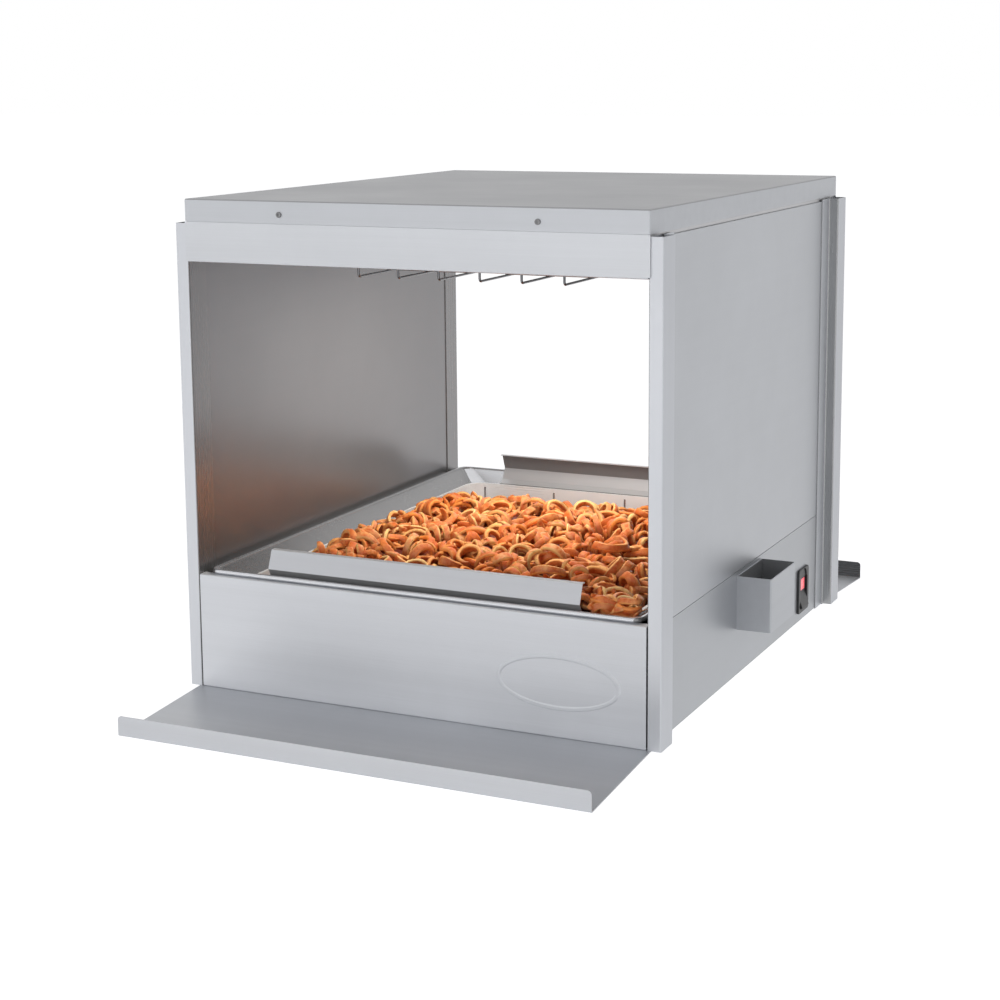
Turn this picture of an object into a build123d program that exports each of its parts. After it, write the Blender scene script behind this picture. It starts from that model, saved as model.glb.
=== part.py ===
from build123d import *

import os
from math import cos, radians, sin, sqrt, tan

# Pass-through chip warmer: a counter-top cabinet with a heated hood over a food pan.
# Millimetres. X runs across the cabinet, Y from its front (-) to its rear (+), Z up from
# the counter. The functions work about the cabinet's middle; the model is written with its
# origin under the middle of its outer box, which the side pocket shifts to the right.

# Cabinet shell
hood_width = 600.0        # across the hood and the side panels
hood_depth = 726.0        # front face to rear face of the hood
foot_gap = 14.0           # cabinet underside above the counter
post_length = 582.0
cover_flange = 27.0       # turned-down edge of the top cover
hood_height = 76.0        # hood bottom edge to cover top
base_height = 144.0       # front and rear base panels
seam_drop = 8.0           # seam between base side and side panel, below the base panels' top
shadow_gap = 5.0          # side panel top edge below the cover
sheet = 1.2
bend = 2.0                # outside radius of a fold
touch_gap = 0.3           # between pieces that lift apart, and round the posts
seam_gap = 0.8

# Corner posts
post_reach = 15.0         # beyond the side panel
post_flange = 37.0
post_lip = 32.0           # lies on the side's outer face
post_setback = 1.8        # behind the hood's face
post_drop = 2.5           # post's top below the cover

# Hood
fascia_return = 12.0
fascia_tab = 17.0         # height of the tab behind the cover's flange
fascia_lap = 10.0         # overlap of the tab and the fascia's face
fascia_seam = 0.6
soffit_rise = 66.0        # turned-up sides of the ceiling panel
hood_screw_offset = 167.0
hood_screw_drop = 16.5    # below the cover's top
hood_screw_grip = 7.0

# Screws: shank and head radius, head height
small_screw = (2.0, 3.5, 2.2)
large_screw = (2.3, 4.5, 2.5)
screw_clearance = 0.3
recess_width = 0.9        # cross recess in the head
recess_depth = 1.2

# Overhead heaters
heater_offset = 83.4      # each heater's centre line from the middle
heater_length = 424.0
heater_width = 116.0
heater_rise = 52.0
heater_lip = 10.0
heater_top_ratio = 0.72   # housing's top width over its mouth
heater_sheet = 0.8
rod_radius = 4.0
rod_pitch = 40.0
rod_height = 26.0         # rod axis above the soffit
rod_bend = 16.0
rod_front_gap = 40.0      # hairpin's closed end to the housing's end wall
rod_tail = 10.0           # sheath beyond the housing's rear wall
stud_radius = 2.0
stud_length = 14.0
bushing_radius = 6.0
bushing_collar = 8.5
bushing_collar_length = 4.0
bushing_neck = 6.0
bushing_play = 0.2
clip_thickness = 2.0
clip_width = 60.0
clip_drop = 34.0
clip_places = (-100.0, 90.0)

# Wire guards under the heaters
wire_radius = 1.5
wire_pitch = 55.6
wire_drop = 25.5          # wire axis below the hood's bottom edge
wire_end_gap = 13.0       # upturned ends beyond the heater's mouth
guard_screw_grip = 6.0
wire_bend = 4.0
cross_wire_places = (-148.0, 0.0, 148.0)
cross_wire_sink = 0.4     # weld depth
strap_width = 14.0
strap_sheet = 1.5
strap_overhang = 8.0

# Base
base_return_top = 13.0
base_return_bottom = 15.0
panel_gap = 1.1           # base panel ends to the posts
bottom_gap = 1.5
side_flange = 15.0
rail_leg = 28.0
rail_reach = 18.8
oval_inset = 111.5        # blank raised oval's centre from the right side
oval_height = 66.0
oval_length = 156.0
oval_width = 67.0
oval_border = 6.0
oval_rise = 1.4
oval_slope = 1.6
oval_field = 0.5

# Heated deck under the pan
deck_inset = 12.0         # inside the pan's well
deck_sheet = 2.0
pad_inset = 40.0          # inside the deck's sides
pad_end_inset = 30.0
pad_thickness = 1.5
support_foot = 14.0
support_inset = 20.0
thermostat_radius = 8.0
thermostat_height = 9.0
thermostat_round = 2.2
thermostat_gap = 14.0     # thermostat's axis beyond the pad's edge

# Feet
foot_radius = 19.0
foot_base_radius = 16.0
foot_inset = 62.0
foot_bore_radius = 5.5
foot_bore_depth = 6.0
foot_screw_grip = 6.0     # screw end above the bottom plate

# Ledges, front and rear
ledge_overhang = 2.0      # beyond each side of the base
ledge_reach = 170.0       # lip beyond the hood's face
ledge_drop = 11.4
ledge_tuck = 38.0
ledge_lip = 25.0
ledge_corner = 5.0
ledge_screw_inset = 8.0
ledge_screw_pitch = 220.0
ledge_screw_length = 6.5

# Side pocket
pocket_reach = 45.0
pocket_length = 100.0
pocket_height = 69.0
pocket_low = 61.0
pocket_centre = -5.0
pocket_screw_pitch = 50.0
pocket_screw_height = 40.0
pocket_screw_length = 6.0

# Rocker switch
switch_inset = 134.0      # in front of the hood's rear face
switch_height = 40.0      # above the cabinet's underside
rocker_width = 30.0
rocker_half = 20.6        # half length
rocker_angle = 8.0        # each way
rocker_crown = 3.0        # middle of the face outside the pivot
rocker_back = 3.0
rocker_keel = 8.0
rocker_keel_half = 5.0
rocker_side_gap = 0.4
rocker_end_gap = 1.1
pivot_depth = 3.0         # pivot inside the panel's face
pivot_radius = 1.5
pivot_play = 0.06
pivot_hold = 1.2          # pin's length in the switch wall
switch_wall = 1.8
switch_depth = 38.0
switch_cavity = 12.0
cutout_play = 0.3
bezel_width = 46.0
bezel_length = 62.0
bezel_lift = 4.0          # bezel's centre above the rocker's
bezel_thickness = 3.0
bezel_corner = 5.0
bezel_round = 1.0
thumb_radius = 13.0
thumb_depth = 1.6
lens_width = 22.0
lens_low = 3.0
lens_high = 18.5
lens_thickness = 1.5
lens_proud = 0.2
tab_length = 12.0
tab_width = 6.3
tab_thickness = 0.8
tab_offset = 8.0
tab_spread = 7.0

# Wiring
conduit_radius = 3.0
conduit_out = 7.0         # conduit's axis outside the side panel
conduit_bend = 7.0
grommet_neck = 6.0
grommet_collar = 8.0
grommet_collar_length = 1.5
grommet_play = 0.3
block_depth = 26.0
block_length = 32.0
block_rise = 20.0         # half height
lead_radius = 1.8
lead_bend = 5.0
hood_lead_bend = 10.0
lead_pitch = 7.0
lead_stub = 9.0
lead_gap = 6.0            # base leads inside the gland's inner end
gland_inset = 100.0       # from the right side
gland_height = 40.0
gland_bore = 4.5
gland_neck = 10.0
gland_play = 0.2
gland_flange = 13.0
gland_flange_length = 2.5
gland_round = 0.8
gland_length = 22.0

# Food pan, its lift-out tray and the guards on its shoulders
pan_side_gap = 12.0       # rim inside the cabinet's sides
pan_end_gap = 8.0         # rim behind the hood's face
pan_corner = 14.0
corner_growth = 0.35      # corner radius gained per mm of inset
pan_bead = 6.0
bead_round = 2.8
shoulder_run = 26.0
shoulder_fall = 17.0
shoulder_start = 1.3      # top of the shoulder below the bead's top
shoulder_tuck = 0.9       # shoulder's edge inside the bead
tray_seat = 4.0
pan_sheet = 1.2
pan_depth = 98.3
tray_gap = 0.8
tray_sheet = 1.0
tray_lip = 3.3
tray_lip_height = 1.6
tray_lip_round = 0.8
tray_floor_height = 20.0  # tray floor above the pan's underside
floor_slots = (5, 9)
floor_slot = (42.0, 5.0)
floor_slot_pitch = (84.0, 62.0)
wall_slot_width = 3.0
wall_slot_height = 18.0
wall_slot_drop = 4.0
wall_slots = 5
wall_slot_inset = 20.2    # outermost slots from the tray's sides
guard_end_inset = 80.0    # guard's ends from the rim's sides
guard_foot_low = 2.0      # foot's inner edge from the bottom of the shoulder
guard_foot = 9.0          # foot's run across the shoulder
guard_heel = 9.0          # forward reach of the guard's lower edge
guard_heel_rise = 16.0
guard_lean = 9.0
guard_rise = 23.0
guard_fold = 7.0
guard_sheet = 1.0
guard_bend = 1.6

# Heap of chips in the tray
heap_gap_left = 14.0      # inside the tray's walls
heap_gap_right = 2.0
heap_gap_front = 1.0
heap_gap_rear = 35.0
heap_rear_drop = 12.0     # heap's rear edge below the tray's seat
heap_rear_slope = 13.5    # degrees
heap_corner = 45.0
heap_crown = 40.0
heap_top_angle = 80.0     # of the quarter circle that the crown follows
heap_steps = 7
spill_inset = (5.0, 9.0)  # spill's centre inside the tray's right and front walls
spill_gap = 1.0           # above the pan's shoulder
spill_radius = 34.0
spill_rise = 16.0         # above the pan's bead
spill_round = 9.0

# Levels and faces that the pieces share
floor_z = foot_gap
post_top = floor_z + post_length
cover_top = post_top + cover_flange
hood_bottom = cover_top - hood_height
base_top = floor_z + base_height
seam_z = base_top - seam_drop
soffit_z = hood_bottom + sheet
soffit_top = soffit_z + sheet
bottom_z = floor_z + sheet
bottom_top = bottom_z + sheet
wall_x = hood_width / 2
liner_x = wall_x - sheet
flange_x = liner_x - sheet
front_y = -hood_depth / 2
post_y = front_y + post_setback
panel_half = -post_y - bend
rail_half = -post_y - post_flange - touch_gap
rod_z = soffit_top + rod_height
switch_z = floor_z + switch_height
switch_y = -front_y - switch_inset
pivot_x = wall_x - pivot_depth
conduit_x = wall_x + conduit_out
conduit_y = -post_y - post_flange / 2
bead_z = base_top + touch_gap
bead_top = bead_z + pan_bead
shoulder_top = bead_top - shoulder_start
seat_z = shoulder_top - shoulder_fall
pan_floor = bead_top - pan_depth
tray_floor = pan_floor + tray_floor_height
pan_width = hood_width - 2 * pan_side_gap
pan_length = hood_depth - 2 * pan_end_gap
well_inset = pan_bead + shoulder_run + tray_seat
tray_inset = well_inset + tray_gap
wall_x_inside = pan_width / 2 - tray_inset - tray_sheet
wall_y_inside = pan_length / 2 - tray_inset - tray_sheet
wall_slot_pitch = 2 * (wall_x_inside - wall_slot_inset) / (wall_slots - 1)
deck_width = pan_width - 2 * (well_inset + deck_inset)
deck_length = pan_length - 2 * (well_inset + deck_inset)
pad_width = deck_width - 2 * pad_inset
pad_length = deck_length - 2 * pad_end_inset
wire_run = heater_length + 2 * wire_end_gap
centre_x = (pocket_reach - post_reach) / 2


def block(low, high):
    """A box between two corners."""
    size = [b - a for a, b in zip(low, high)]
    return Pos(*low) * Box(*size, align=(Align.MIN, Align.MIN, Align.MIN))


def folded(plane, points, width, thickness=sheet, radius=bend, side=Side.LEFT):
    """A sheet folded along points drawn in a plane, half its width to each side of it."""
    path = FilletPolyline(*points, radius=radius)
    outline = offset(path, thickness, side=side)
    return extrude(plane * make_face(outline), width / 2, both=True)


def rod(radius, length, start, direction):
    """A round bar from a start point along a direction."""
    return extrude(Plane(start, z_dir=direction) * Circle(radius), length)


def tube_path(points, radius, bend_radius):
    """A round bar along straight runs joined by arcs."""
    path = FilletPolyline(*points, radius=bend_radius)
    section = Plane(path @ 0, z_dir=path % 0) * Circle(radius)
    return sweep(section, path=path)


def screw(size, grip, seat, direction):
    """Pan-head screw: its head stands on the seat, its shank runs into the work."""
    shank, head, height = size
    outward = Vector(*direction) * -1
    body = rod(shank, grip, seat, direction)
    cap = rod(head, height, seat, outward)
    cap = fillet(cap.faces().sort_by(Axis(seat, outward))[-1].edges(), height / 2)
    top = Plane(Vector(*seat) + outward * height, z_dir=outward)
    cross = Rectangle(2 * shank, recess_width) + Rectangle(recess_width, 2 * shank)
    return body + cap - extrude(top * cross, -recess_depth)


def hole(size, seat, direction, depth):
    """Clearance hole for a screw, through both sides of the seat."""
    start = Vector(*seat) - Vector(*direction) * depth
    return rod(size[0] + screw_clearance, 2 * depth, start, direction)


def in_front_and_behind(piece):
    return piece + mirror(piece, about=Plane.XZ)


def on_left(piece):
    """Mirror image of a piece that is drawn on the right."""
    return mirror(piece, about=Plane.YZ)


# Cabinet shell

def corner_post():
    """Front right post: it wraps the side's edge and closes onto its outer face with a lip."""
    outer_x = wall_x + post_reach
    lip_x = wall_x + sheet
    back_y = post_y + post_flange
    length = post_length - post_drop
    points = [(flange_x, back_y), (flange_x, post_y), (outer_x, post_y), (outer_x, back_y),
              (lip_x, back_y), (lip_x, back_y + post_lip)]
    return folded(Plane.XY.offset(floor_z + length / 2), points, length)


def conduit_hole(level):
    """Hole through the right side wall for a grommet round the conduit."""
    return rod(grommet_neck, post_reach, (flange_x - post_reach / 2, conduit_y, level), (1, 0, 0))


def side_panel():
    """Right side panel, a flat sheet behind the posts' webs."""
    return block((liner_x, -panel_half, seam_z + seam_gap / 2),
                 (wall_x, panel_half, post_top - shadow_gap))


def base_side():
    """Right side of the base, with a foot flange between the posts."""
    top = seam_z - seam_gap / 2
    points = [(wall_x - side_flange, floor_z), (wall_x, floor_z), (wall_x, top)]
    web = block((liner_x, -panel_half, floor_z + bend), (wall_x, panel_half, top))
    return folded(Plane.XZ, points, 2 * rail_half) + web


def base_panel():
    """Front panel of the base, folded inwards at its top and bottom edges."""
    points = [(post_y + base_return_top, base_top), (post_y, base_top),
              (post_y, floor_z), (post_y + base_return_bottom, floor_z)]
    return folded(Plane.YZ, points, 2 * (flange_x - panel_gap)) - ledge_holes()


def blank_oval():
    """Raised oval border round a slightly raised plain field."""
    centre = Plane((wall_x - oval_inset, post_y, floor_z + oval_height), x_dir=(1, 0, 0), z_dir=(0, -1, 0))
    half_length = oval_length / 2
    half_width = oval_width / 2

    def oval(inset, height):
        return centre.offset(height) * Ellipse(half_length - inset, half_width - inset)

    ridge = loft([oval(0, -sheet / 2), oval(0, 0), oval(oval_slope, oval_rise)], ruled=True)
    dish = loft([oval(oval_border - oval_slope, oval_rise), oval(oval_border, oval_field)])
    return ridge - dish


def bottom_plate():
    """Floor of the base, on the folded edges of its four sides."""
    half_x = flange_x - touch_gap
    half_y = -post_y - sheet - bottom_gap
    plate = block((-half_x, -half_y, bottom_z), (half_x, half_y, bottom_top))
    plate -= in_front_and_behind(ledge_holes())
    for x, y in foot_places():
        plate -= hole(large_screw, (x, y, bottom_z), (0, 0, 1), 2 * sheet)
    return plate


def top_cover():
    """Roof with its edges turned down on all four sides."""
    outer = block((-wall_x, front_y, post_top), (wall_x, -front_y, cover_top))
    outer = fillet(outer.edges().filter_by(Axis.Z), bend)
    outer = fillet(outer.faces().sort_by(Axis.Z)[-1].edges(), bend)
    inner = block((-liner_x, front_y + sheet, post_top), (liner_x, -front_y - sheet, cover_top - sheet))
    return outer - fillet(inner.edges().filter_by(Axis.Z), bend - sheet) - hood_screw_holes()


def hood_fascia():
    """Front fascia: a face, a return that carries the soffit and a tab behind the cover."""
    face_top = post_top - fascia_seam
    points = [(front_y, face_top), (front_y, hood_bottom), (front_y + fascia_return, hood_bottom)]
    fascia = folded(Plane.YZ, points, 2 * (flange_x - touch_gap))
    fascia += block((-wall_x, front_y, hood_bottom + bend), (wall_x, front_y + sheet, face_top))
    tab_low = post_top - fascia_lap
    tab_high = post_top + fascia_tab
    tab_half = flange_x - touch_gap
    fascia += block((-tab_half, front_y + sheet, tab_low), (tab_half, front_y + 2 * sheet, tab_high))
    return fascia - hood_screw_holes()


def hood_soffit():
    """Hood ceiling between the fascias, its sides turned up, with a mouth for each heater."""
    high = soffit_z + soffit_rise
    points = [(-flange_x, high), (-flange_x, soffit_z), (flange_x, soffit_z), (flange_x, high)]
    ceiling = folded(Plane.XZ, points, 2 * (-front_y - 2 * sheet - touch_gap))
    for side in (-1, 1):
        mouth = Pos(side * heater_offset, 0, soffit_z) * Box(heater_width, heater_length, 4 * sheet)
        ceiling -= mouth
    return ceiling - on_left(conduit_hole(rod_z)) - guard_screw_holes()


# Screws

def hood_screw_places():
    level = cover_top - hood_screw_drop
    return [(x, front_y, level) for x in (-hood_screw_offset, hood_screw_offset)]


def hood_screw_holes():
    holes = Part() + [hole(small_screw, place, (0, 1, 0), 4 * sheet) for place in hood_screw_places()]
    return in_front_and_behind(holes)


def hood_screws():
    """Screws through the cover's flange into the fascia tabs, front and rear."""
    front = [screw(small_screw, hood_screw_grip, place, (0, 1, 0)) for place in hood_screw_places()]
    return front + [mirror(piece, about=Plane.XZ) for piece in front]


def guard_screw_places():
    places = []
    for side in (-1, 1):
        for end in (-1, 1):
            for half in (-0.5, 0.5):
                x = side * heater_offset + half * wire_pitch
                places.append((x, end * wire_run / 2, soffit_z - strap_sheet))
    return places


def guard_screw_holes():
    places = guard_screw_places()
    return Part() + [hole(small_screw, place, (0, 0, 1), 3 * sheet) for place in places]


def guard_screws():
    """Screws that hold the wire guards' straps up to the soffit."""
    return [screw(small_screw, guard_screw_grip, place, (0, 0, 1)) for place in guard_screw_places()]


def ledge_screw_places():
    y = post_y + ledge_screw_inset
    return [(x, y, floor_z - sheet) for x in (-ledge_screw_pitch, 0, ledge_screw_pitch)]


def ledge_holes():
    places = ledge_screw_places()
    return Part() + [hole(large_screw, place, (0, 0, 1), 4 * sheet) for place in places]


def ledge_screws():
    """Screws up through each ledge into the base."""
    front = [screw(large_screw, ledge_screw_length, place, (0, 0, 1)) for place in ledge_screw_places()]
    return front + [mirror(piece, about=Plane.XZ) for piece in front]


# Overhead heaters

def heater_housing(side):
    """Trough that opens downwards, with a lip on the soffit and holes for the rods' ends."""
    centre = side * heater_offset

    def section(level, narrow, inset):
        width = heater_width * narrow - 2 * inset
        return Pos(centre, 0, level) * Rectangle(width, heater_length - 2 * inset)

    roof = soffit_top + heater_rise
    shell = loft([section(soffit_top, 1, 0), section(roof, heater_top_ratio, 0)])
    hollow = loft([section(soffit_top, 1, heater_sheet),
                   section(roof - heater_sheet, heater_top_ratio, heater_sheet)])
    lip = Pos(centre, 0, soffit_top + heater_sheet / 2) * Box(
        heater_width + 2 * heater_lip, heater_length + 2 * heater_lip, heater_sheet)
    housing = shell + lip - hollow
    for x in rod_places(side):
        housing -= rod(bushing_radius + bushing_play, 4 * bushing_neck,
                       (x, heater_length / 2 - 2 * bushing_neck, rod_z), (0, 1, 0))
    return housing


def rod_places(side):
    centre = side * heater_offset
    return (centre - rod_pitch / 2, centre + rod_pitch / 2)


def heating_element(side):
    """Sheathed hairpin rod with a threaded stud at each end."""
    near, far = rod_places(side)
    end_y = heater_length / 2 + rod_tail
    closed_y = -heater_length / 2 + rod_front_gap
    points = [(near, end_y, rod_z), (near, closed_y, rod_z), (far, closed_y, rod_z), (far, end_y, rod_z)]
    element = tube_path(points, rod_radius, rod_bend)
    for x in (near, far):
        element += rod(stud_radius, stud_length, (x, end_y, rod_z), (0, 1, 0))
    return element


def element_bushings():
    """Ceramic bushings round the rods in the housings' rear walls."""
    wall_y = heater_length / 2
    bushings = []
    for side in (-1, 1):
        for x in rod_places(side):
            ring = rod(bushing_radius, bushing_neck, (x, wall_y - bushing_neck, rod_z), (0, 1, 0))
            ring += rod(bushing_collar, bushing_collar_length, (x, wall_y, rod_z), (0, 1, 0))
            ring -= rod(rod_radius + bushing_play, 4 * bushing_neck,
                        (x, wall_y - 2 * bushing_neck, rod_z), (0, 1, 0))
            bushings.append(ring)
    return bushings


def element_clips():
    """Plates that hang from each housing's roof and carry the rods."""
    roof = soffit_top + heater_rise - heater_sheet
    clips = []
    for side in (-1, 1):
        for y in clip_places:
            centre = side * heater_offset
            clip = block((centre - clip_width / 2, y - clip_thickness / 2, roof - clip_drop),
                         (centre + clip_width / 2, y + clip_thickness / 2, roof))
            for x in rod_places(side):
                clip -= rod(rod_radius + bushing_play, 2 * clip_thickness,
                            (x, y - clip_thickness, rod_z), (0, 1, 0))
            clips.append(clip)
    return clips


def wire_guard(side):
    """Three long wires with upturned ends, welded to cross wires and end straps."""
    centre = side * heater_offset
    low = hood_bottom - wire_drop
    high = soffit_z - strap_sheet / 2
    end_y = wire_run / 2
    guard = Part()
    for step in (-1, 0, 1):
        x = centre + step * wire_pitch
        points = [(x, -end_y, high), (x, -end_y, low), (x, end_y, low), (x, end_y, high)]
        guard += tube_path(points, wire_radius, wire_bend)
    reach = wire_pitch + wire_radius
    for y in cross_wire_places:
        level = low + 2 * wire_radius - cross_wire_sink
        guard += rod(wire_radius, 2 * reach, (centre - reach, y, level), (1, 0, 0))
    reach = wire_pitch + strap_overhang
    for end in (-end_y, end_y):
        guard += block((centre - reach, end - strap_width / 2, soffit_z - strap_sheet),
                       (centre + reach, end + strap_width / 2, soffit_z))
    return guard - guard_screw_holes()


# Base fittings

def pan_rail():
    """Right rail: an angle across the side seam that carries the pan's rim."""
    points = [(liner_x, base_top - rail_leg), (liner_x, base_top), (liner_x - rail_reach, base_top)]
    return folded(Plane.XZ, points, 2 * rail_half)


def deck_top():
    return pan_floor - touch_gap


def deck_support():
    """Front support: a channel between the bottom plate and the deck."""
    high = deck_top() - deck_sheet
    face = -deck_length / 2
    points = [(face + support_foot, high), (face, high),
              (face, bottom_top), (face + support_foot, bottom_top)]
    return folded(Plane.YZ, points, deck_width - 2 * support_inset)


def heater_deck():
    """Plate that the pan's floor rests over."""
    high = deck_top()
    return Pos(0, 0, high - deck_sheet / 2) * Box(deck_width, deck_length, deck_sheet)


def heater_pad():
    """Foil heater bonded under the deck, between its supports."""
    high = deck_top() - deck_sheet
    return Pos(0, 0, high - pad_thickness / 2) * Box(pad_width, pad_length, pad_thickness)


def deck_insulation():
    """Fibre block between the bottom plate and the heater."""
    high = deck_top() - deck_sheet - pad_thickness
    return block((-pad_width / 2, -pad_length / 2, bottom_top), (pad_width / 2, pad_length / 2, high))


def thermostat():
    """Disc thermostat against the deck beside the heater."""
    high = deck_top() - deck_sheet
    x = pad_width / 2 + thermostat_gap
    disc = rod(thermostat_radius, thermostat_height, (x, 0, high), (0, 0, -1))
    return fillet(disc.faces().sort_by(Axis.Z)[0].edges(), thermostat_round)


# Feet

def foot_places():
    x = wall_x - foot_inset
    y = -front_y - foot_inset
    return [(sx * x, sy * y) for sy in (-1, 1) for sx in (-1, 1)]


def rubber_foot(x, y):
    """Tapered foot with a recess for its screw's head."""
    foot = loft([Pos(x, y, 0) * Circle(foot_base_radius), Pos(x, y, bottom_z) * Circle(foot_radius)])
    foot -= rod(foot_bore_radius, foot_bore_depth, (x, y, 0), (0, 0, 1))
    return foot - hole(large_screw, (x, y, foot_bore_depth), (0, 0, 1), bottom_z)


def foot_screws():
    grip = bottom_top - foot_bore_depth + foot_screw_grip
    places = foot_places()
    return [screw(large_screw, grip, (x, y, foot_bore_depth), (0, 0, 1)) for x, y in places]


# Ledges and side pocket

def ledge():
    """Front ledge: tucked under the base, it falls to an upturned lip."""
    under = floor_z - sheet
    lip_y = front_y - ledge_reach
    low = under - ledge_drop
    points = [(post_y + ledge_tuck, under), (post_y, under), (lip_y, low), (lip_y, low + ledge_lip)]
    tray = folded(Plane.YZ, points, hood_width + 2 * ledge_overhang, side=Side.RIGHT)
    corners = tray.edges().filter_by(Axis.Y).group_by(Axis.Z)[-1]
    return fillet(corners, ledge_corner) - ledge_holes()


def pocket_screw_places():
    level = floor_z + pocket_low + pocket_screw_height
    half = pocket_screw_pitch / 2
    return [(wall_x + sheet, pocket_centre + dy, level) for dy in (-half, half)]


def pocket_holes():
    places = pocket_screw_places()
    return Part() + [hole(small_screw, place, (-1, 0, 0), 3 * sheet) for place in places]


def side_pocket():
    """Open-topped box on the right side of the base."""
    low = floor_z + pocket_low
    high = low + pocket_height
    near = pocket_centre - pocket_length / 2
    far = pocket_centre + pocket_length / 2
    outer = block((wall_x, near, low), (wall_x + pocket_reach, far, high))
    outer = fillet(outer.edges().filter_by(Axis.Z).group_by(Axis.X)[-1], bend)
    inner = block((wall_x + sheet, near + sheet, low + sheet),
                  (wall_x + pocket_reach - sheet, far - sheet, high))
    inner = fillet(inner.edges().filter_by(Axis.Z).group_by(Axis.X)[-1], bend - sheet)
    return outer - inner - pocket_holes()


def pocket_screws():
    return [screw(small_screw, pocket_screw_length, place, (-1, 0, 0)) for place in pocket_screw_places()]


# Rocker switch on the right side of the base

def on_switch(piece):
    """Place a piece drawn about the rocker's pivot, X outwards and Z up."""
    return Pos(pivot_x, switch_y, switch_z) * piece


def cavity_half():
    return rocker_half + rocker_end_gap


def switch_cutout():
    """Opening for the switch body in the base side."""
    width = rocker_width + 2 * (rocker_side_gap + switch_wall + cutout_play)
    length = 2 * (cavity_half() + switch_wall + cutout_play)
    return on_switch(Box(4 * pivot_depth + 4 * sheet, width, length))


def switch_body():
    """Switch case behind the panel and its bezel in front, hollow for the rocker."""
    width = rocker_width + 2 * rocker_side_gap
    length = 2 * cavity_half()
    case = Box(switch_depth, width + 2 * switch_wall, length + 2 * switch_wall,
               align=(Align.MAX, Align.CENTER, Align.CENTER))
    face = Plane((pivot_depth, 0, bezel_lift), x_dir=(0, 1, 0), z_dir=(1, 0, 0))
    bezel = extrude(face * RectangleRounded(bezel_width, bezel_length, bezel_corner), bezel_thickness)
    bezel = fillet(bezel.faces().sort_by(Axis.X)[-1].edges(), bezel_round)
    thumb_face = Plane((pivot_depth + bezel_thickness, 0, cavity_half()), x_dir=(0, 1, 0), z_dir=(1, 0, 0))
    thumb = extrude(thumb_face * Circle(thumb_radius), -thumb_depth)
    hollow = Pos(-switch_cavity + pivot_depth, 0, 0) * Box(
        2 * switch_cavity, width, length, align=(Align.MIN, Align.CENTER, Align.CENTER))
    bore_half = rocker_width / 2 + pivot_hold + rocker_side_gap
    bore = rod(pivot_radius + pivot_play, 2 * bore_half, (0, -bore_half, 0), (0, 1, 0))
    return on_switch(Pos(pivot_depth, 0, 0) * case + bezel - thumb - hollow - bore)


def rocker_face(height):
    """Distance of the rocker's face outside its pivot at a height from its middle."""
    return rocker_crown + abs(height) * tan(radians(rocker_angle))


def tilted(piece):
    """Turn a piece of the rocker from its middle position to rest, top pressed in."""
    return on_switch(Rot(0, -rocker_angle, 0) * piece)


def lens_block(proud):
    """Window in the upper half of the rocker's face."""
    outline = Polygon(
        (rocker_face(lens_low) - lens_thickness, lens_low),
        (rocker_face(lens_low) + proud, lens_low),
        (rocker_face(lens_high) + proud, lens_high),
        (rocker_face(lens_high) - lens_thickness, lens_high), align=None)
    return extrude(Plane.XZ * outline, lens_width / 2, both=True)


def rocker():
    """Rocker with a hollow face, a keel and two pivot pins."""
    end = rocker_face(rocker_half)
    outline = Polygon(
        (rocker_crown, 0), (end, rocker_half), (-rocker_back, rocker_half),
        (-rocker_keel, rocker_keel_half), (-rocker_keel, -rocker_keel_half),
        (-rocker_back, -rocker_half), (end, -rocker_half), align=None)
    body = extrude(Plane.XZ * outline, rocker_width / 2, both=True)
    pin_half = rocker_width / 2 + pivot_hold
    body += rod(pivot_radius, 2 * pin_half, (0, -pin_half, 0), (0, 1, 0))
    return tilted(body - lens_block(lens_proud))


def switch_tabs():
    """Four blade terminals behind the switch."""
    back = pivot_depth - switch_depth
    tabs = []
    for y in (-tab_offset, tab_offset):
        for z in (-tab_spread, tab_spread):
            tab = Pos(back, y, z) * Box(tab_length, tab_thickness, tab_width,
                                        align=(Align.MAX, Align.CENTER, Align.CENTER))
            tabs.append(on_switch(tab))
    return tabs


# Wiring: all but the base leads is drawn on the right and mirrored

def terminal_block(face_x, level):
    """Terminal block against a side wall, over the conduit's end."""
    body = block((face_x - block_depth, conduit_y - block_length / 2, level - block_rise),
                 (face_x, conduit_y + block_length / 2, level + block_rise))
    return fillet(body.faces().sort_by(Axis.X)[0].edges(), bend)


def wiring_conduit():
    """Conduit up the rear post, from the base block to the hood block."""
    points = [(flange_x, conduit_y, switch_z), (conduit_x, conduit_y, switch_z),
              (conduit_x, conduit_y, rod_z), (flange_x - sheet, conduit_y, rod_z)]
    return tube_path(points, conduit_radius, conduit_bend)


def conduit_grommets():
    """Rubber rings round the conduit in the side walls."""
    rings = []
    for inner_x, level in ((flange_x, switch_z), (flange_x - sheet, rod_z)):
        place = (inner_x, conduit_y, level)
        ring = rod(grommet_neck, wall_x - inner_x, place, (1, 0, 0))
        ring += rod(grommet_collar, grommet_collar_length, (wall_x, conduit_y, level), (1, 0, 0))
        ring -= rod(conduit_radius + grommet_play, post_reach, place, (1, 0, 0))
        rings.append(ring)
    return rings


def hood_leads():
    """Leads from the hood block to the heaters' studs."""
    face_x = flange_x - sheet - block_depth
    stud_y = heater_length / 2 + rod_tail + stud_length
    ends = sorted(rod_places(1) + rod_places(-1), reverse=True)
    first_y = conduit_y - (len(ends) - 1) / 2 * lead_pitch
    leads = []
    for step, x in enumerate(ends):
        y = first_y + step * lead_pitch
        points = [(x, stud_y, rod_z), (x, y, rod_z), (face_x, y, rod_z)]
        leads.append(tube_path(points, lead_radius, hood_lead_bend))
    return leads


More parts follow.
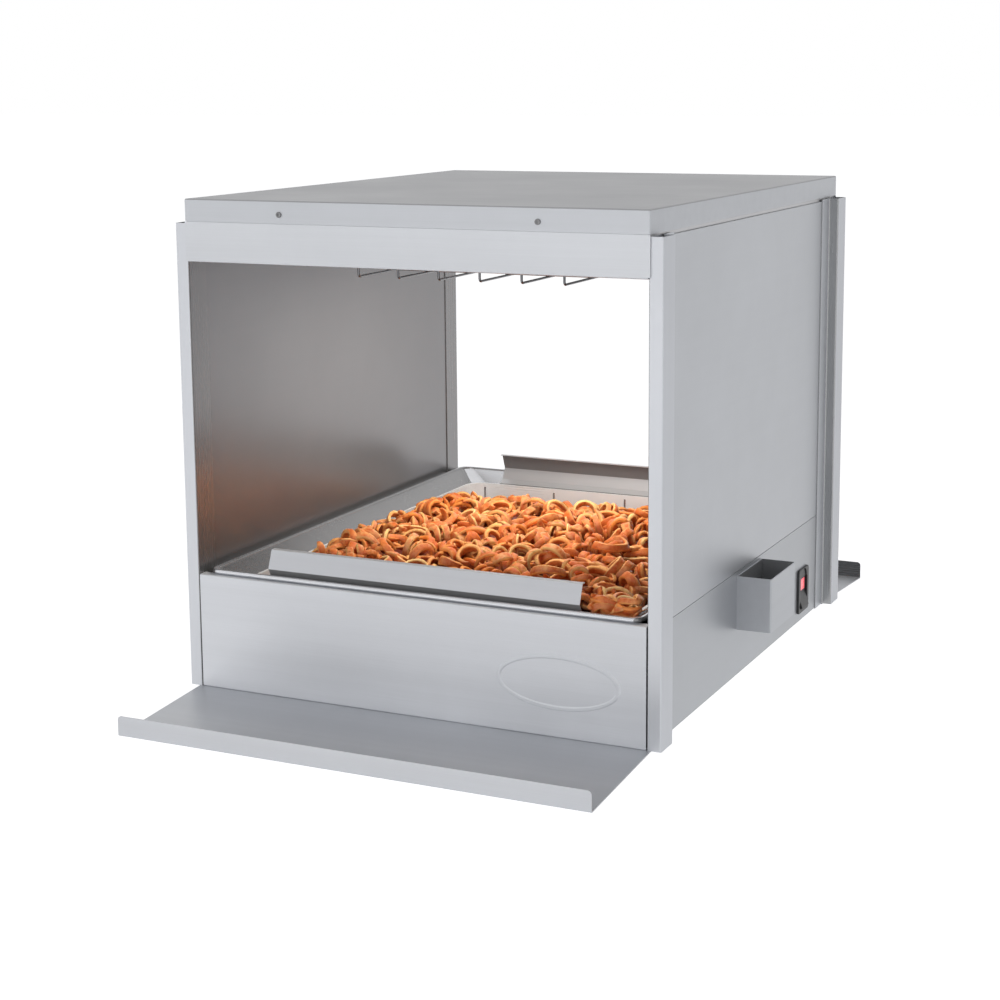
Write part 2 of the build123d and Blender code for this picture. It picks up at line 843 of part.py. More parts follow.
def base_leads():
    """Leads from the switch's rear tabs, along the rear panel to the base block on the left."""
    start_x = pivot_x + pivot_depth - switch_depth - tab_length
    turn_x = start_x - lead_stub
    tab_y = switch_y + tab_offset
    run_y = -post_y - gland_length - lead_gap
    leads = []
    for dz in (-tab_spread, tab_spread):
        z = switch_z + dz
        points = [(start_x, tab_y, z), (turn_x, tab_y, z), (turn_x, run_y, z),
                  (block_depth - flange_x, run_y, z)]
        leads.append(tube_path(points, lead_radius, lead_bend))
    return leads


def gland_place():
    return (wall_x - gland_inset, -post_y, floor_z + gland_height)


def cord_gland():
    """Gland in the rear panel for the supply cord."""
    face = gland_place()
    inner = rod(gland_neck, gland_length, face, (0, -1, 0))
    outer = rod(gland_flange, gland_flange_length, face, (0, 1, 0))
    outer = fillet(outer.faces().sort_by(Axis.Y)[-1].edges(), gland_round)
    start = Vector(*face) + (0, gland_length, 0)
    return inner + outer - rod(gland_bore, 3 * gland_length, start, (0, -1, 0))


def gland_hole():
    start = Vector(*gland_place()) + (0, sheet, 0)
    return rod(gland_neck + gland_play, 3 * sheet, start, (0, -1, 0))


# Food pan, tray and guards

def pan_outline(inset, level):
    """The pan's plan drawn in from its rim, with corners that open out towards its well."""
    corner = pan_corner + corner_growth * inset
    return Pos(0, 0, level) * RectangleRounded(pan_width - 2 * inset, pan_length - 2 * inset, corner)


def between(inset, low, high):
    """A solid of the pan's plan between two levels."""
    return extrude(pan_outline(inset, low), high - low)


def shoulder_solid(drop):
    """Everything above the sloping shoulder, lowered by a drop."""
    start = pan_bead - shoulder_tuck
    run_start = shoulder_top - drop
    return loft([pan_outline(pan_bead + shoulder_run, seat_z - drop), pan_outline(start, run_start)])


def food_pan():
    """Pan with a rolled rim, a sloping shoulder, a seat for the tray and a deep well."""
    rim = between(0, bead_z, bead_top) - between(pan_bead, bead_z, bead_top)
    rim = fillet(rim.faces().filter_by(Axis.Z).edges(), bead_round)
    shoulder = shoulder_solid(pan_sheet) - shoulder_solid(0) - between(well_inset, pan_floor, bead_top)
    well = between(well_inset - pan_sheet, pan_floor, seat_z)
    well -= between(well_inset, pan_floor + pan_sheet, seat_z)
    return rim + shoulder + well


def floor_openings():
    """Drain slots through the tray's floor."""
    columns, rows = floor_slots
    length, width = floor_slot
    pitch_x, pitch_y = floor_slot_pitch
    slot = extrude(Pos(0, 0, tray_floor - tray_sheet) * SlotOverall(length, width), 3 * tray_sheet)
    return Part() + [place * slot for place in GridLocations(pitch_x, pitch_y, columns, rows)]


def wall_openings():
    """Upright slots near the top of the tray's front and rear walls."""
    level = seat_z - wall_slot_drop - wall_slot_height / 2
    slot = Pos(0, 0, level) * Box(wall_slot_width, 2 * pan_length, wall_slot_height)
    return Part() + [place * slot for place in GridLocations(wall_slot_pitch, 1, wall_slots, 1)]


def pan_insert():
    """Lift-out tray: it hangs by its lip in the pan, its floor slotted to drain."""
    lip_z = seat_z + touch_gap
    lip_top = lip_z + tray_lip_height
    tray = between(tray_inset, tray_floor, lip_top)
    lip = between(tray_inset - tray_lip, lip_z, lip_top)
    tray += fillet(lip.faces().sort_by(Axis.Z)[-1].edges(), tray_lip_round)
    tray -= between(tray_inset + tray_sheet, tray_floor + tray_sheet, lip_top)
    return tray - floor_openings() - wall_openings()


def shoulder_height(inset):
    """Level of the shoulder's top face at an inset from the rim."""
    start = pan_bead - shoulder_tuck
    run = pan_bead + shoulder_run - start
    return seat_z + (pan_bead + shoulder_run - inset) * shoulder_fall / run


def food_guard():
    """Front guard: a foot welded on the shoulder, a heel and a face that leans inwards."""
    rim_y = -pan_length / 2
    toe = pan_bead + shoulder_run - guard_foot_low
    ankle = toe - guard_foot
    heel = ankle - guard_heel
    heel_z = shoulder_height(ankle) + guard_heel_rise
    top = heel + guard_lean
    top_z = heel_z + guard_rise
    points = [(rim_y + toe, shoulder_height(toe)), (rim_y + ankle, shoulder_height(ankle)),
              (rim_y + heel, heel_z), (rim_y + top, top_z), (rim_y + top + guard_fold, top_z)]
    length = pan_width - 2 * guard_end_inset
    return folded(Plane.YZ, points, length, guard_sheet, guard_bend, Side.RIGHT)


def chip_spill():
    """Chips that lie on the front shoulder, between the guard's end and the rim's corner."""
    x = wall_x_inside - spill_inset[0]
    y = spill_inset[1] - wall_y_inside
    low = seat_z + touch_gap + tray_lip_height + spill_gap
    middle = shoulder_top + spill_gap
    lower = rod(spill_radius, middle - low, (x, y, low), (0, 0, 1)) & shoulder_solid(-spill_gap)
    upper = rod(spill_radius, bead_top + spill_rise - middle, (x, y, middle), (0, 0, 1))
    return lower + fillet(upper.faces().sort_by(Axis.Z)[-1].edges(), spill_round)


def curly_chips():
    """Heap of chips: it crowns above the tray, falls to the rear and spills over its front corner."""
    low = tray_floor + tray_sheet
    width = 2 * wall_x_inside - heap_gap_left - heap_gap_right
    length = 2 * wall_y_inside - heap_gap_front - heap_gap_rear
    middle = Pos((heap_gap_left - heap_gap_right) / 2, (heap_gap_front - heap_gap_rear) / 2, 0)

    def layer(level, share):
        outline = RectangleRounded(width * share, length * share, heap_corner * share)
        return middle * Pos(0, 0, level) * outline

    layers = [layer(low, 1)]
    for step in range(heap_steps):
        angle = radians(heap_top_angle * step / (heap_steps - 1))
        layers.append(layer(seat_z + heap_crown * sin(angle), sqrt(cos(angle))))
    rear_edge = middle * Pos(0, length / 2, seat_z - heap_rear_drop)
    above = Box(2 * pan_width, 2 * pan_length, pan_length, align=(Align.CENTER, Align.CENTER, Align.MIN))
    return loft(layers, ruled=True) - rear_edge * Rot(-heap_rear_slope, 0, 0) * above + chip_spill()


def both_sides(name, piece):
    """Right piece and its mirror image on the left."""
    return {name + "_right": piece, name + "_left": on_left(piece)}


def group(pieces):
    return Compound([solid for piece in pieces for solid in piece.solids()])


def all_nodes():
    post = corner_post()
    rear_post = mirror(post, about=Plane.XZ)
    rear_post_holes = conduit_hole(switch_z) + conduit_hole(rod_z)
    panel = side_panel()
    lower = base_side()
    front_panel = base_panel()
    fascia = hood_fascia()
    support = deck_support()
    front_ledge = ledge()
    guard = food_guard()
    nodes = {
        "top_cover": top_cover(),
        "hood_front_fascia": fascia,
        "hood_rear_fascia": mirror(fascia, about=Plane.XZ),
        "hood_soffit": hood_soffit(),
        "hood_screws": group(hood_screws()),
        "element_bushings": group(element_bushings()),
        "element_clips": group(element_clips()),
        "guard_screws": group(guard_screws()),
        "side_panel_right": panel,
        "side_panel_left": on_left(panel - conduit_hole(rod_z)),
        "post_rear_right": rear_post,
        "post_rear_left": on_left(rear_post - rear_post_holes),
        "base_side_right": lower - switch_cutout() - pocket_holes(),
        "base_side_left": on_left(lower - conduit_hole(switch_z)),
        "base_front_panel": front_panel + blank_oval(),
        "base_rear_panel": mirror(front_panel, about=Plane.XZ) - gland_hole(),
        "base_bottom_plate": bottom_plate(),
        "deck_support_front": support,
        "deck_support_rear": mirror(support, about=Plane.XZ),
        "heater_deck": heater_deck(),
        "base_heater_pad": heater_pad(),
        "deck_insulation": deck_insulation(),
        "base_thermostat": thermostat(),
        "foot_screws": group(foot_screws()),
        "front_ledge": front_ledge,
        "rear_ledge": mirror(front_ledge, about=Plane.XZ),
        "ledge_screws": group(ledge_screws()),
        "side_pocket": side_pocket(),
        "pocket_screws": group(pocket_screws()),
        "switch_body": switch_body(),
        "rocker": rocker(),
        "rocker_lens": tilted(lens_block(lens_proud)),
        "switch_terminals": group(switch_tabs()),
        "hood_terminal_block": on_left(terminal_block(flange_x - sheet, rod_z)),
        "base_terminal_block": on_left(terminal_block(flange_x, switch_z)),
        "wiring_conduit": on_left(wiring_conduit()),
        "conduit_grommets": on_left(group(conduit_grommets())),
        "hood_leads": on_left(group(hood_leads())),
        "base_leads": group(base_leads()),
        "cord_gland": cord_gland(),
        "food_pan": food_pan(),
        "pan_insert": pan_insert(),
        "front_guard": guard,
        "rear_guard": mirror(guard, about=Plane.XZ),
        "curly_chips": curly_chips(),
    }
    nodes.update(both_sides("post_front", post))
    nodes.update(both_sides("pan_rail", pan_rail()))
    for side, name in ((-1, "left"), (1, "right")):
        nodes["heater_housing_" + name] = heater_housing(side)
        nodes["heating_element_" + name] = heating_element(side)
        nodes["wire_guard_" + name] = wire_guard(side)
    corners = ("front_left", "front_right", "rear_left", "rear_right")
    for name, (x, y) in zip(corners, foot_places()):
        nodes["foot_" + name] = rubber_foot(x, y)
    return nodes


os.makedirs("parts", exist_ok=True)
for node_name, shape in all_nodes().items():
    export_step(Pos(-centre_x, 0, 0) * shape, "parts/" + node_name + ".step")
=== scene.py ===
from math import cos, pi, radians, sin, sqrt

import bpy
import numpy as np
from mathutils import Euler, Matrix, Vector


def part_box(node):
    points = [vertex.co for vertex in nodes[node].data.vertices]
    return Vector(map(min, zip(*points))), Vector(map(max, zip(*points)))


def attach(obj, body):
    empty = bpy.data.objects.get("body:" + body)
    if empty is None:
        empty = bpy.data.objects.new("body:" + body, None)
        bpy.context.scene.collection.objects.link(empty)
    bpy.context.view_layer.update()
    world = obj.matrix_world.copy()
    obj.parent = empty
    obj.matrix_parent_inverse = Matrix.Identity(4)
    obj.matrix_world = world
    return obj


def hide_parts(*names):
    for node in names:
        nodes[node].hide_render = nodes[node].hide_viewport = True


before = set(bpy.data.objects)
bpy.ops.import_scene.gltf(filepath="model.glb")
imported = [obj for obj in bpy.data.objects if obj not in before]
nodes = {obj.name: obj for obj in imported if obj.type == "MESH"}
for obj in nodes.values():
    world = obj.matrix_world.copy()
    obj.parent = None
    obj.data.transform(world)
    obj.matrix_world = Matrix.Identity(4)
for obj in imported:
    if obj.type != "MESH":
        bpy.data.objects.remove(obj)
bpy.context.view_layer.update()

# A counter-top chip warmer: finishes for its sheet metal, the heap of curled chips in its tray,
# and a pale studio. Metres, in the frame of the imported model.

# Camera
camera_place = (1.0482, -2.3532, 0.7693)
camera_lens = 71.0
camera_yaw = 25.38
camera_pitch = 9.42
camera_roll = -0.47
camera_shift = -0.10

# Studio
floor_size = 60.0
floor_glow = 0.88
world_fill = (0.20, 0.205, 0.215)
heater_tint = (1.0, 0.95, 0.86)

# Heap of chips
tray_wall = 0.0043            # tray's inner wall inside its lip's edge
heap_gap_left = 0.014         # heap's sides inside the tray's walls
heap_gap_right = 0.002
heap_gap_front = 0.001
heap_gap_rear = 0.035
heap_crown = 0.037            # middle of the heap's surface above the tray's lip
heap_corner = 0.030           # corners of the plan that the chips leave free
heap_rear_drop = 0.012        # heap's rear edge below the tray's lip
heap_rear_slope = 0.24        # rise towards the front, per metre
spill_inset = (0.005, 0.009)  # spill's centre inside the tray's right and front walls
spill_radius = 0.034
shoulder_inset = 0.032        # inner edge of the pan's shoulder inside the rim
shoulder_start = 0.005
shoulder_fall = 0.017
shoulder_drop = 0.0013        # shoulder's outer edge below the rim's top
shade_depth = 0.028           # below a chip's top, where its painted shade is darkest
deepest_shade = 0.95
spill_shade = 0.5
hanging_stretch = 2.6         # pulled-out curls at the tray's front corner
tray_round = 0.010            # bottom edges of the tray that the chips leave free
bed_gap = 0.001               # spilled chips above what they lie on
press_height = 0.004
press_length = 0.010
random_seed = 11


# Materials

def new_material(name):
    made = bpy.data.materials.new(name)
    made.use_nodes = True
    return made, made.node_tree.nodes, made.node_tree.links, made.node_tree.nodes["Principled BSDF"]


def object_coordinates(tree_nodes, links, scale=(1, 1, 1)):
    """Object coordinates, stretched: the output socket of a Mapping node."""
    source = tree_nodes.new("ShaderNodeTexCoord")
    mapping = tree_nodes.new("ShaderNodeMapping")
    mapping.inputs["Scale"].default_value = scale
    links.new(source.outputs["Object"], mapping.inputs["Vector"])
    return mapping.outputs["Vector"]


def noise(tree_nodes, links, vector, scale, detail=3.0, roughness=0.5):
    made = tree_nodes.new("ShaderNodeTexNoise")
    made.inputs["Scale"].default_value = scale
    made.inputs["Detail"].default_value = detail
    made.inputs["Roughness"].default_value = roughness
    links.new(vector, made.inputs["Vector"])
    return made.outputs["Fac"]


def remap(tree_nodes, links, value, low, high, start=0.0, end=1.0):
    """A value from start to end mapped to low to high, clamped."""
    made = tree_nodes.new("ShaderNodeMapRange")
    made.inputs["From Min"].default_value = start
    made.inputs["From Max"].default_value = end
    made.inputs["To Min"].default_value = low
    made.inputs["To Max"].default_value = high
    links.new(value, made.inputs["Value"])
    return made.outputs["Result"]


def calculate(tree_nodes, links, operation, first, second):
    made = tree_nodes.new("ShaderNodeMath")
    made.operation = operation
    for socket, value in zip(made.inputs, (first, second)):
        if isinstance(value, (int, float)):
            socket.default_value = value
        else:
            links.new(value, socket)
    return made.outputs["Value"]


def mix_colours(tree_nodes, links, factor, first, second, blend="MIX"):
    made = tree_nodes.new("ShaderNodeMix")
    made.data_type = "RGBA"
    made.blend_type = blend
    for name, value in (("Factor", factor), ("A", first), ("B", second)):
        socket = [s for s in made.inputs if s.name == name and s.enabled][0]
        if isinstance(value, bpy.types.NodeSocket):
            links.new(value, socket)
        elif name == "Factor":
            socket.default_value = value
        else:
            socket.default_value = (*value, 1.0)
    return [s for s in made.outputs if s.enabled][0]


def bump(tree_nodes, links, height, strength, distance, normal=None):
    made = tree_nodes.new("ShaderNodeBump")
    made.inputs["Strength"].default_value = strength
    made.inputs["Distance"].default_value = distance
    links.new(height, made.inputs["Height"])
    if normal is not None:
        links.new(normal, made.inputs["Normal"])
    return made.outputs["Normal"]


def inward_facing(tree_nodes, links, centre, axes="X"):
    """1 on faces that look towards the centre along one of the axes, 0 on the others."""
    place = tree_nodes.new("ShaderNodeTexCoord")
    position = tree_nodes.new("ShaderNodeSeparateXYZ")
    normal = tree_nodes.new("ShaderNodeSeparateXYZ")
    links.new(place.outputs["Object"], position.inputs["Vector"])
    links.new(place.outputs["Normal"], normal.inputs["Vector"])
    inside = 0.0
    for axis in axes:
        middle = centre["XYZ".index(axis)]
        offset = calculate(tree_nodes, links, "SUBTRACT", position.outputs[axis], middle)
        side = calculate(tree_nodes, links, "SIGN", offset, 0.0)
        facing = calculate(tree_nodes, links, "MULTIPLY", side, normal.outputs[axis])
        inside = calculate(tree_nodes, links, "MAXIMUM", inside,
                           calculate(tree_nodes, links, "LESS_THAN", facing, -0.5))
    return inside


def turned(tree_nodes, links, axis, sign, least=0.3):
    """1 on faces that look along an axis, or against it, by more than the least share."""
    normal = tree_nodes.new("ShaderNodeSeparateXYZ")
    links.new(tree_nodes.new("ShaderNodeTexCoord").outputs["Normal"], normal.inputs["Vector"])
    facing = calculate(tree_nodes, links, "MULTIPLY", normal.outputs[axis], sign)
    return calculate(tree_nodes, links, "GREATER_THAN", facing, least)


def brushed(name, tone, grain="x", metallic=0.5, roughness=0.4, shade_mask=None, painted_shade_tone=None,
            masked_metallic=0.65, masked_roughness=0.26, streaks=0.02, anisotropy=0.5, relief=0.1,
            spread=0.04):
    """Brushed sheet: fine lines along the grain, faint streaks and marks, and faces picked by an optional
    function that get painted shade: a darker tone standing in for shade or a dark reflection.
    """
    made, tree, links, shader = new_material(name)
    along = 0.012
    stretch = {"x": (along, 1, 1), "y": (1, along, 1), "z": (1, 1, along)}[grain]
    lines = noise(tree, links, object_coordinates(tree, links, stretch), 900.0, 2.0)
    bands = noise(tree, links, object_coordinates(tree, links, stretch), 70.0, 2.0)
    marks = noise(tree, links, object_coordinates(tree, links), 5.0, 4.0, 0.6)
    shade = calculate(tree, links, "MULTIPLY",
                      remap(tree, links, bands, 1 - streaks, 1 + streaks, 0.3, 0.7),
                      remap(tree, links, lines, 1 - 0.7 * streaks, 1 + 0.7 * streaks, 0.3, 0.7))
    shade = calculate(tree, links, "MULTIPLY", shade, remap(tree, links, marks, 0.97, 1.03, 0.35, 0.65))
    base = tone
    rough = roughness
    # Painted shade: the faces picked by the mask function get a darker tone standing in for shade or a dark
    # reflection
    if shade_mask:
        share = shade_mask(tree, links)
        base = mix_colours(tree, links, share, tone, painted_shade_tone)
        rough = remap(tree, links, share, roughness, masked_roughness)
        links.new(remap(tree, links, share, metallic, masked_metallic), shader.inputs["Metallic"])
    else:
        shader.inputs["Metallic"].default_value = metallic
    grey = tree.new("ShaderNodeCombineXYZ")
    for axis in "XYZ":
        links.new(shade, grey.inputs[axis])
    shaded = mix_colours(tree, links, 1.0, base, grey.outputs["Vector"], "MULTIPLY")
    links.new(shaded, shader.inputs["Base Color"])
    uneven = calculate(tree, links, "ADD", remap(tree, links, lines, -spread, spread, 0.3, 0.7),
                       remap(tree, links, marks, -spread, spread, 0.35, 0.65))
    links.new(calculate(tree, links, "ADD", rough, uneven), shader.inputs["Roughness"])
    links.new(bump(tree, links, lines, relief, 0.0001), shader.inputs["Normal"])
    shader.inputs["Anisotropic"].default_value = anisotropy
    shader.inputs["Anisotropic Rotation"].default_value = 0.25
    direction = tree.new("ShaderNodeCombineXYZ")
    direction.inputs[grain.upper()].default_value = 1.0
    links.new(direction.outputs["Vector"], shader.inputs["Tangent"])
    return made


def moulded(name, tone, roughness=0.5, variation=0.15, grain_scale=1400.0, relief=0.1, metallic=0.0):
    """Moulded, cast or woven stuff: a fine surface grain and a slight change of tone."""
    made, tree, links, shader = new_material(name)
    place = object_coordinates(tree, links)
    fine = noise(tree, links, place, grain_scale, 2.0)
    broad = noise(tree, links, place, 18.0, 3.0)
    dark = tuple(c * (1 - variation) for c in tone)
    light = tuple(min(1.0, c * (1 + variation)) for c in tone)
    links.new(mix_colours(tree, links, remap(tree, links, broad, 0, 1, 0.3, 0.7), dark, light),
              shader.inputs["Base Color"])
    rough = remap(tree, links, fine, roughness - 0.08, roughness + 0.08, 0.3, 0.7)
    links.new(rough, shader.inputs["Roughness"])
    links.new(bump(tree, links, fine, relief, 0.0002), shader.inputs["Normal"])
    shader.inputs["Metallic"].default_value = metallic
    return made


def lit_window():
    """Red window of the rocker, lit by the lamp behind it, with a fine random change of brightness."""
    made, tree, links, shader = new_material("lit_window")
    place = object_coordinates(tree, links)
    fine = noise(tree, links, place, 300.0, 2.0)
    share = remap(tree, links, fine, 0, 1, 0.3, 0.7)
    glow = mix_colours(tree, links, share, (0.85, 0.05, 0.09), (1.0, 0.22, 0.24))
    links.new(glow, shader.inputs["Base Color"])
    links.new(glow, shader.inputs["Emission Color"])
    shader.inputs["Emission Strength"].default_value = 0.75
    shader.inputs["Roughness"].default_value = 0.22
    return made


def fried_potato():
    """Fried seasoned potato: gold inside faces, browner crust, dark specks, an oily sheen, and painted shade
    darkening the lower parts of each chip.
    """
    made, tree, links, shader = new_material("fried_potato")
    place = object_coordinates(tree, links)
    tone = tree.new("ShaderNodeAttribute")
    tone.attribute_name = "tone"
    crust = tree.new("ShaderNodeAttribute")
    crust.attribute_name = "crust"
    patches = noise(tree, links, place, 130.0, 4.0, 0.6)
    specks = noise(tree, links, place, 420.0, 3.0, 0.7)
    gold = mix_colours(tree, links, tone.outputs["Fac"], (1.0, 0.67, 0.26), (0.92, 0.29, 0.050))
    browned = calculate(tree, links, "MULTIPLY", crust.outputs["Fac"],
                        remap(tree, links, patches, 0.45, 1.0, 0.35, 0.65))
    colour = mix_colours(tree, links, browned, gold, (0.62, 0.11, 0.020))
    patched = remap(tree, links, patches, 0.0, 0.6, 0.52, 0.72)
    colour = mix_colours(tree, links, patched, colour, (0.60, 0.14, 0.022))
    specked = remap(tree, links, specks, 0.0, 0.7, 0.62, 0.72)
    colour = mix_colours(tree, links, specked, colour, (0.24, 0.045, 0.012))
    # Painted shade: the depth attribute darkens each chip towards its bottom, for the shade in the heap's
    # gaps
    deep = tree.new("ShaderNodeAttribute")
    deep.attribute_name = "depth"
    colour = mix_colours(tree, links, deep.outputs["Fac"], colour, (0.13, 0.024, 0.014))
    links.new(colour, shader.inputs["Base Color"])
    links.new(remap(tree, links, patches, 0.32, 0.55, 0.3, 0.7), shader.inputs["Roughness"])
    rough = bump(tree, links, patches, 0.6, 0.0015)
    links.new(bump(tree, links, specks, 0.35, 0.0004, rough), shader.inputs["Normal"])
    shader.inputs["Specular IOR Level"].default_value = 0.6
    shader.inputs["Coat Weight"].default_value = 0.25
    shader.inputs["Coat Roughness"].default_value = 0.22
    return made


def dress(material, *names):
    for name in names:
        for index in range(len(nodes[name].material_slots)):
            nodes[name].material_slots[index].material = material


def names_like(*beginnings):
    return [name for name in sorted(nodes) if name.startswith(beginnings)]


# Chips

def curl_mesh(rng, sides, segments_per_turn, stretch=1.0):
    """One curled chip about its own middle: a bar of square section with rounded edges, coiled up."""
    turns = rng.choice((0.6, 0.9, 1.2, 1.6, 2.2, 2.9), p=(0.14, 0.2, 0.24, 0.2, 0.13, 0.09))
    radius = rng.uniform(0.0115, 0.0215)
    pitch = stretch * rng.uniform(0.008, 0.016)
    width = rng.uniform(0.0042, 0.0062)
    height = rng.uniform(0.0070, 0.0115)
    count = max(8, int(turns * segments_per_turn))
    angle = np.linspace(0, 2 * pi * turns, count)
    along = np.linspace(-0.5, 0.5, count)
    wobble = 1 + 0.14 * np.sin(angle * rng.uniform(0.6, 1.4) + rng.uniform(0, 2 * pi))
    reach = radius * wobble * (1 + rng.uniform(-0.6, 0.6) * along)
    flat = rng.uniform(0.7, 1.0)
    spine = np.stack([reach * np.cos(angle), flat * reach * np.sin(angle), pitch * turns * along], axis=1)
    spine[:, 0] += rng.uniform(-0.3, 0.3) * pitch * turns * along
    outward = np.stack([np.cos(angle), flat * np.sin(angle), np.zeros(count)], axis=1)
    outward /= np.linalg.norm(outward, axis=1)[:, None]
    twist = rng.uniform(-0.6, 0.6) + 0.3 * np.sin(angle * 0.7 + rng.uniform(0, 6))
    up = np.array([0.0, 0.0, 1.0])
    radial = outward * np.cos(twist)[:, None] + up * np.sin(twist)[:, None]
    axial = -outward * np.sin(twist)[:, None] + up * np.cos(twist)[:, None]
    ends = np.minimum(np.arange(count), np.arange(count)[::-1])
    taper = np.clip(ends / 2.0, 0.0, 1.0) * 0.5 + 0.5
    taper = taper * (1 + 0.10 * np.sin(angle * rng.uniform(2.0, 3.5) + rng.uniform(0, 6)))
    around = (np.arange(sides) + 0.5) * 2 * pi / sides
    square = np.stack([np.sign(np.cos(around)) * np.abs(np.cos(around)) ** 0.35,
                       np.sign(np.sin(around)) * np.abs(np.sin(around)) ** 0.35], axis=1)
    points = (spine[:, None, :]
              + radial[:, None, :] * (taper[:, None] * width / 2 * square[None, :, 0])[:, :, None]
              + axial[:, None, :] * (taper[:, None] * height / 2 * square[None, :, 1])[:, :, None])
    crust = (np.abs(square[None, :, 0]) > np.abs(square[None, :, 1])) * np.ones(count)[:, None]
    crust = np.maximum(crust, np.clip(1.2 - 0.6 * ends, 0, 1)[:, None])
    points -= points.mean(axis=(0, 1))
    faces = []
    for step in range(count - 1):
        for side in range(sides):
            here, there = step * sides + side, step * sides + (side + 1) % sides
            faces.append((here, there, there + sides, here + sides))
    faces.append(tuple(reversed(range(sides))))
    faces.append(tuple((count - 1) * sides + side for side in range(sides)))
    return points.reshape(-1, 3), faces, crust.reshape(-1)


def heap_level(x, y):
    """Height of the heap's surface over a place."""
    share = max(abs(x - heap_middle[0]) / heap_half[0], abs(y - heap_middle[1]) / heap_half[1])
    dome = tray_high.z + heap_crown * sqrt(max(0.0, 1 - share ** 4))
    return min(dome, tray_high.z - heap_rear_drop + heap_rear_slope * (heap_high[1] - y))


def scatter(rng, spacing, margin, depth, jitter, roll=0.004):
    """Places over the heap's plan on a loose grid, each with the level of a layer below its surface."""
    places = []
    reach = [half - margin for half in heap_half]
    counts = [int(2 * length / spacing) for length in reach]
    for i in range(counts[0] + 1):
        for j in range(counts[1] + 1):
            steps = (i + rng.uniform(-jitter, jitter), j + rng.uniform(-jitter, jitter))
            offset = [2 * reach[k] * steps[k] / counts[k] - reach[k] for k in (0, 1)]
            offset = [min(max(offset[k], -reach[k]), reach[k]) for k in (0, 1)]
            beyond = [abs(offset[k]) - heap_half[k] + heap_corner for k in (0, 1)]
            if min(beyond) > 0 and beyond[0] + beyond[1] > heap_corner:
                continue
            x, y = heap_middle[0] + offset[0], heap_middle[1] + offset[1]
            places.append((x, y, heap_level(x, y) - depth + rng.uniform(-roll, roll)))
    return places


def shoulder_height(x, y):
    """Level of the pan's sloping shoulder, or of its seat further in."""
    inset = min(pan_high.x - x, x - pan_low.x, pan_high.y - y, y - pan_low.y)
    share = (shoulder_inset - inset) / (shoulder_inset - shoulder_start)
    return pan_high.z - shoulder_drop - shoulder_fall * (1 - min(max(share, 0.0), 1.0))


def inside_tray(x, y):
    """Distance inside the outer edge of the tray's lip."""
    return min(tray_high.x - x, x - tray_low.x, tray_high.y - y, y - tray_low.y)


def spill_bed(x, y):
    """Level that the spilled chips lie on: the tray's lip and filling, or the pan's shoulder."""
    return tray_high.z if inside_tray(x, y) > 0 else shoulder_height(x, y)


def heap_bed(x, y):
    """Level that the heap lies on: the tray's floor, higher near its rounded bottom edges."""
    return heap_floor + max(0.0, tray_round + tray_wall - inside_tray(x, y))


def settle(points, bed):
    """Presses what would sink into the bed flat on it, without closing its thickness."""
    for point in points:
        start = bed(point[0], point[1]) + bed_gap
        over = point[2] - start - press_height
        if over < 0:
            point[2] = start + press_height * np.exp(over / press_length)


def free_turn(rng, tilt):
    """A turn with its axis up to a tilt away from upright, more or less."""
    lean = np.array(Euler((rng.normal(0, tilt), rng.normal(0, tilt), rng.uniform(0, 2 * pi))).to_matrix())
    spin = np.array(Euler((0, 0, rng.uniform(0, 2 * pi))).to_matrix())
    return spin @ lean


def join_curls(name, rng, places, sides, segments_per_turn, tilt, limits, stretch=1.0, shade=deepest_shade,
               bed=heap_bed):
    """All the curls of one layer as one mesh, each with its top at its place's level, inside the limits."""
    points, faces, tones, crusts, painted_shades, start = [], [], [], [], [], 0
    low_limit, high_limit = limits
    for x, y, level in places:
        local, local_faces, crust = curl_mesh(rng, sides, segments_per_turn, stretch)
        local = local @ free_turn(rng, tilt).T
        low, high = local.min(axis=0), local.max(axis=0)
        x = min(max(x, low_limit[0] - low[0]), high_limit[0] - high[0])
        y = min(max(y, low_limit[1] - low[1]), high_limit[1] - high[1])
        placed = local + np.array((x, y, level - high[2]))
        settle(placed, bed)
        points.append(placed)
        faces += [tuple(index + start for index in face) for face in local_faces]
        tones.append(np.full(len(local), rng.uniform(0, 1)))
        crusts.append(crust)
        # Painted shade: darker the further below the curl's top
        painted_shades.append(np.clip((high[2] - local[:, 2]) / shade_depth, 0, 1) ** 1.5 * shade)
        start += len(local)
    joined = [np.concatenate(values) for values in (points, tones, crusts, painted_shades)]
    return chip_piece(name, joined[0], faces, *joined[1:])


def chip_piece(name, points, faces, tones, crusts, painted_shades):
    """A mesh of chips with the values that its material reads."""
    mesh = bpy.data.meshes.new(name)
    mesh.from_pydata(points.tolist(), [], faces)
    for label, values in (("tone", tones), ("crust", crusts), ("depth", painted_shades)):
        layer = mesh.attributes.new(label, "FLOAT", "POINT")
        layer.data.foreach_set("value", values.astype(np.float32))
    for face in mesh.polygons:
        face.use_smooth = True
    piece = bpy.data.objects.new(name, mesh)
    bpy.context.collection.objects.link(piece)
    return piece


